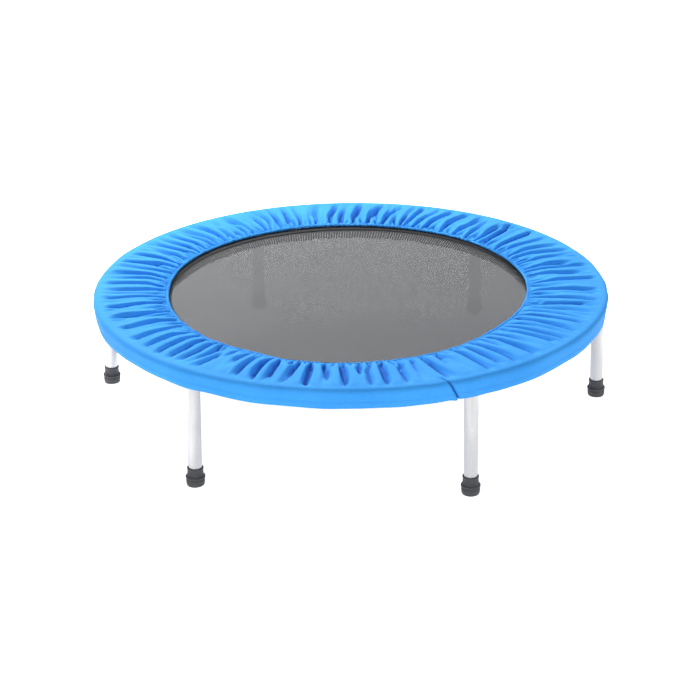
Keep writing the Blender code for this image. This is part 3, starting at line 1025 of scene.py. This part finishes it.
def make_tab(name, place, material):
    """A strap that runs over the band, round the V-ring's base and back under the band."""
    clear = BAND_HALF + TAB_GAP
    ends = (TAB_START, BAND_RADIUS - 0.001)
    outline = [(radius, clear) for radius in ends]
    for step in range(9):
        turn = math.radians(80 - 20 * step)
        size = RING_WIRE + 0.0005
        outline.append((RING_BASE_RADIUS + size * math.cos(turn), size * math.sin(turn)))
    outline += [(radius, -clear) for radius in reversed(ends)]
    points = [Vector((radius, 0, RING_HEIGHT + height)) for radius, height in outline]
    middle = Vector(((TAB_START + BAND_RADIUS) / 2, 0, RING_HEIGHT))
    vertices = []
    for before, point, after in zip(points[:1] + points, points, points[1:] + points[-1:]):
        tangent = (after - before).normalized()
        away = Vector((-tangent.z, 0, tangent.x))
        if away.dot(point - middle) <= 0:
            away = -away
        for lift, side in ((0, -1), (0, 1), (TAB_THICKNESS, 1), (TAB_THICKNESS, -1)):
            vertices.append(place @ (point + away * lift + Vector((0, side * TAB_HALF, 0))))
    last = 4 * (len(points) - 1)
    faces = grid_faces(len(points), 4) + [(0, 1, 2, 3), (last + 3, last + 2, last + 1, last)]
    tab = face_outward(mesh_object(name, vertices, faces, material))
    tab.data.set_sharp_from_angle(angle=math.radians(50))
    return tab


# ======== springs
def spring_turn(number):
    """The angle of a spring, read from its CAD node."""
    low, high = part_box(SPRING_NAMES[number])
    centre = (low + high) / 2
    return math.atan2(centre.y, centre.x)


def spring_route():
    """The wire's line along X: the hook inside the tube, the coil, and the mat's hook."""
    pitch = 2.35 * WIRE_RADIUS
    coils = round((COIL_START - COIL_END) / pitch)
    per_turn = 12
    steps = coils * per_turn
    points = [(0.0050, 0, -HOOK_DROP), (0.0050, 0, -0.0022), (0.0040, 0, -0.0004)]
    points += [(0.0020, 0, 0), (-0.0060, 0, 0), (COIL_START + 0.0022, 0, 0)]
    for step in range(steps + 1):
        share = step / steps
        edge = min(share, 1 - share) * coils
        size = COIL_RADIUS * min(1.0, 0.25 + edge * 1.5)
        angle = math.tau * step / per_turn
        along = COIL_START + (COIL_END - COIL_START) * share
        points.append((along, size * math.sin(angle), size * math.cos(angle)))
    points += [(COIL_END - 0.0022, 0, 0), (MAT_HOOK + 0.0025, 0, 0)]
    points += [(MAT_HOOK + 0.0006, 0, -0.0006), (MAT_HOOK, 0, -0.0022), (MAT_HOOK, 0, -HOOK_DROP)]
    return [Vector(point) for point in points]


def make_springs(material):
    route = spring_route()
    wall = RING_RADIUS - TUBE_RADIUS
    for number, name in enumerate(SPRING_NAMES):
        angle = spring_turn(number)
        place = Matrix.Translation(on_ring(wall, angle)) @ Matrix.Rotation(angle, 4, "Z")
        spring = tube(f"coil_{name}", [place @ point for point in route], WIRE_RADIUS, 6, material)
        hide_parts(name)
        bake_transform(spring)


# ======== frame ring and legs
def leg_matrix(joint):
    """At the ring's centre line over a leg: -Z runs down the leg, +X outward."""
    down = Vector(joint["axis"]).normalized()
    up = -down
    place = Vector(joint["pos_m"])
    outward = Vector((place.x, place.y, 0)).normalized()
    sideways = up.cross(outward).normalized()
    outward = sideways.cross(up)
    matrix = Matrix((outward, sideways, up)).transposed().to_4x4()
    matrix.translation = place
    return matrix


def make_ring(paint):
    """The bent tube, hollow, with holes drilled for the springs and the legs."""
    segments = 240
    vertices, faces = [], []
    for radius, sides in ((TUBE_RADIUS, 28), (TUBE_RADIUS - TUBE_WALL, 16)):
        wall = grid_faces(segments, sides, closed_rows=True, start=len(vertices))
        faces += wall if radius == TUBE_RADIUS else [face[::-1] for face in wall]
        for angle in turns(segments):
            for turn in turns(sides):
                out, up = radius * math.cos(turn), radius * math.sin(turn)
                vertices.append(on_ring(RING_RADIUS + out, angle, RING_HEIGHT + up))
    ring = mesh_object("frame_tube", vertices, faces, paint, smooth=False)
    drills = make_drills()
    cut = ring.modifiers.new("Holes", "BOOLEAN")
    cut.object = drills
    cut.operation = "DIFFERENCE"
    apply_modifiers(ring)
    bpy.data.objects.remove(drills)
    smooth_mesh(ring.data, 35)
    return seat(ring, "frame", "frame_paint", "frame_ring")


def make_drills():
    """Drills for the spring holes and for the leg sockets, as one mesh."""
    drills = []
    for number in range(SPRING_COUNT):
        angle = spring_turn(number)
        centre = Matrix.Translation(on_ring(RING_RADIUS - TUBE_RADIUS / 2, angle))
        turn = Matrix.Rotation(angle, 4, "Z") @ Matrix.Rotation(math.pi / 2, 4, "Y")
        drills.append((centre @ turn, SPRING_HOLE, 16))
    for joint in LEG_JOINTS:
        drills.append((leg_matrix(joint) @ Matrix.Translation((0, 0, -TUBE_RADIUS)), LEG_HOLE, 24))
    shape = bmesh.new()
    for place, radius, sides in drills:
        sizes = {"segments": sides, "radius1": radius, "radius2": radius, "depth": TUBE_RADIUS * 1.4}
        bmesh.ops.create_cone(shape, cap_ends=True, matrix=place, **sizes)
    return shape_object("drills", shape)


def make_legs(paint, frame_paint, zinc, rubber):
    for number, joint in enumerate(LEG_JOINTS, 1):
        matrix = leg_matrix(joint)
        axis_length = joint["pos_m"][2] / -Vector(joint["axis"]).normalized().z
        make_socket(number, matrix, frame_paint)
        make_washer(number, matrix, zinc)
        make_leg_tube(number, matrix, axis_length, paint)
        make_stud(number, matrix, zinc)
        make_foot(number, matrix, axis_length, rubber)


def make_socket(number, matrix, material):
    """A threaded bush with its bead of weld round the frame's tube."""
    sizes = (STUD_RADIUS + 0.0004, SOCKET_RADIUS, SOCKET_BOTTOM, -0.0002)
    socket = pipe(f"leg_socket_{number}", *sizes, 0.0006, 2, 40, material, matrix)
    seat(socket, "frame", "frame_paint")
    bead = []
    radius = SOCKET_RADIUS + 0.0005
    for angle in turns(96):
        x, y = radius * math.cos(angle), radius * math.sin(angle)
        z = -math.sqrt(TUBE_RADIUS**2 - x * x) - 0.0002
        bead.append(matrix @ Vector((x, y, z - 0.0002 * math.sin(14 * angle))))
    weld = tube(f"socket_weld_{number}", bead, 0.0010, 8, material, closed=True)
    seat(weld, "frame", "frame_paint")


def make_washer(number, matrix, material):
    top = SOCKET_BOTTOM - WASHER_GAP
    sizes = (0.0052, 0.0102, top - WASHER_THICKNESS, top)
    washer = pipe(f"washer_{number}", *sizes, 0.0003, 2, 48, material, matrix)
    seat(washer, f"leg_{number}_collar", "zinc_plate", f"leg_washer_{number}")


def make_leg_tube(number, matrix, axis_length, material):
    sizes = (LEG_TUBE_RADIUS - LEG_WALL, LEG_TUBE_RADIUS, FOOT_SOLE + 0.0003 - axis_length, LEG_TOP)
    steel = pipe(f"steel_leg_{number}", *sizes, 0.0005, 3, 72, material, matrix)
    seat(steel, f"leg_{number}", "leg_paint", f"leg_tube_{number}")


def make_stud(number, matrix, material):
    """The plug in the leg's top, and its stud with a real helical thread."""
    per_turn, per_pitch = 36, 6
    tip = LEG_TOP + STUD_LENGTH
    length = tip - LEG_TOP
    rows = round(length / THREAD_PITCH * per_pitch)
    plug = LEG_TUBE_RADIUS - LEG_WALL - 0.0006
    shape = bmesh.new()
    rings = [circle(shape, matrix, [plug] * per_turn, height) for height in (LEG_TOP - 0.008, LEG_TOP)]
    for row in range(rows + 1):
        height = LEG_TOP + length * row / rows
        ends = min(1.0, (tip - height) / 0.0015)
        radii = []
        for step in range(per_turn):
            share = (height / THREAD_PITCH - step / per_turn) % 1.0
            groove = THREAD_DEPTH * abs(2 * share - 1)
            radii.append(STUD_RADIUS - groove - 0.0009 * (1 - ends))
        rings.append(circle(shape, matrix, radii, height))
    for lower, upper in zip(rings, rings[1:]):
        for step in range(per_turn):
            side = (step + 1) % per_turn
            shape.faces.new((lower[step], lower[side], upper[side], upper[step]))
    shape.faces.new(rings[0][::-1])
    shape.faces.new(rings[-1])
    bmesh.ops.recalc_face_normals(shape, faces=shape.faces)
    stud = shape_object(f"threaded_stud_{number}", shape, material)
    smooth_mesh(stud.data, 55)
    seat(stud, f"leg_{number}", "zinc_plate", f"leg_stud_{number}")


def make_foot(number, matrix, axis_length, material):
    """The rubber foot, with grips round it, cut level with the floor."""
    bore = LEG_TUBE_RADIUS + 0.0003
    outline = [(0, FOOT_SOLE), (bore, FOOT_SOLE), (bore, 0.0322)]
    outline += [(0.0131, 0.0330), (0.0141, 0.0324), (0.0141, 0.0306), (0.0135, 0.0290), (0.0137, 0.0215)]
    outline += [(0.0148, 0.0178), (0.0166, 0.0166), (0.0169, 0.0150), (0.0167, 0.0134), (0.0152, 0.0128)]
    outline += [(0.0152, 0.0112), (0.0161, 0.0104), (0.0158, 0.0030), (0.0150, 0.0008), (0.0146, -0.0010)]
    outline += [(0, -0.0010)]
    outline = [(radius, height - axis_length) for radius, height in rounded(outline, 0.0006, 3)]
    foot = turned(f"rubber_foot_{number}", outline, 72, material, matrix, sharp=50.0)
    for vertex in foot.data.vertices:
        vertex.co.z = max(vertex.co.z, 0.0)
    seat(foot, f"leg_{number}", "foot_rubber", f"leg_foot_{number}")


# ======== stage, lights and camera
def make_stage():
    half = 40.0
    corners = [(-half, -half, 0), (half, -half, 0), (half, half, 0), (-half, half, 0)]
    white = new_material("studio_floor", bright_floor)
    floor = mesh_object("floor", corners, [(0, 1, 2, 3)], white, smooth=False)
    world = bpy.data.worlds.new("studio")
    world.use_nodes = True
    background = world.node_tree.nodes["Background"]
    background.inputs["Color"].default_value = (1.0, 1.0, 1.0, 1.0)
    background.inputs["Strength"].default_value = 0.32
    bpy.context.scene.world = world
    bpy.context.scene.view_settings.view_transform = "Standard"


def make_light(name, place, size, power):
    light = bpy.data.lights.new(name, "AREA")
    light.size = size
    light.energy = power
    obj = add_object(name, light)
    obj.location = place
    obj.rotation_euler = (Vector(place) - CAMERA_TARGET).to_track_quat("Z", "Y").to_euler()


def make_camera():
    data = bpy.data.cameras.new("camera")
    data.lens = CAMERA_LENS
    data.sensor_width = CAMERA_SENSOR
    data.shift_x = CAMERA_SHIFT_X
    data.shift_y = CAMERA_SHIFT_Y
    data.clip_end = 200.0
    flat = math.cos(CAMERA_ELEVATION)
    across, forward = math.sin(CAMERA_AZIMUTH) * flat, math.cos(CAMERA_AZIMUTH) * flat
    back = Vector((across, -forward, math.sin(CAMERA_ELEVATION)))
    camera = add_object("camera", data)
    camera.location = CAMERA_TARGET + back * CAMERA_DISTANCE
    facing = back.to_track_quat("Z", "Y").to_matrix().to_4x4()
    camera.rotation_euler = (facing @ Matrix.Rotation(CAMERA_ROLL, 4, "Z")).to_euler()
    bpy.context.scene.camera = camera


# ======== everything
cover_cloth = new_material("cover_fabric", cover_fabric)
cover_thread = new_material("cover_thread", twisted_thread, (0.040, 0.30, 0.88))
mat_tapes = new_material("mat_mesh", mat_mesh)
band_tape = new_material("band_webbing", webbing, (0.003, 0.003, 0.004), (0.010, 0.010, 0.012))
black_thread = new_material("black_thread", twisted_thread, (0.014, 0.014, 0.016))
edge_thread = new_material("edge_thread", twisted_thread, (0.014, 0.014, 0.016))
frame_paint = new_material("frame_paint", painted_steel, (0.50, 0.52, 0.55), 0.38, 0.5)
leg_paint = new_material("leg_paint", painted_steel, (0.57, 0.57, 0.58), 0.30, 0.75)
zinc = new_material("zinc_plate", plated_steel, (0.62, 0.63, 0.64), 0.32)
spring_steel = new_material("spring_steel", plated_steel, (0.55, 0.56, 0.58), 0.28)
rubber = new_material("foot_rubber", moulded_rubber)
elastic = new_material("elastic", twisted_thread, (0.80, 0.80, 0.78))

make_camera()
make_stage()
make_light("key", (-1.25, 1.3, 1.95), 0.45, 88)
make_light("front", (-0.6, -2.6, 1.6), 1.4, 22)
make_light("back", (0.5, 2.0, 1.6), 1.4, 24)
make_light("side", (2.6, -0.6, 1.4), 1.4, 14)
make_ring(frame_paint)
make_legs(leg_paint, frame_paint, zinc, rubber)
make_mat_band(band_tape)
make_mat(mat_tapes)
make_edge_strokes(edge_thread)
make_band_stitches(black_thread)
make_mat_hardware(zinc, band_tape)
make_springs(spring_steel)
make_cover(cover_cloth, cover_thread, elastic)
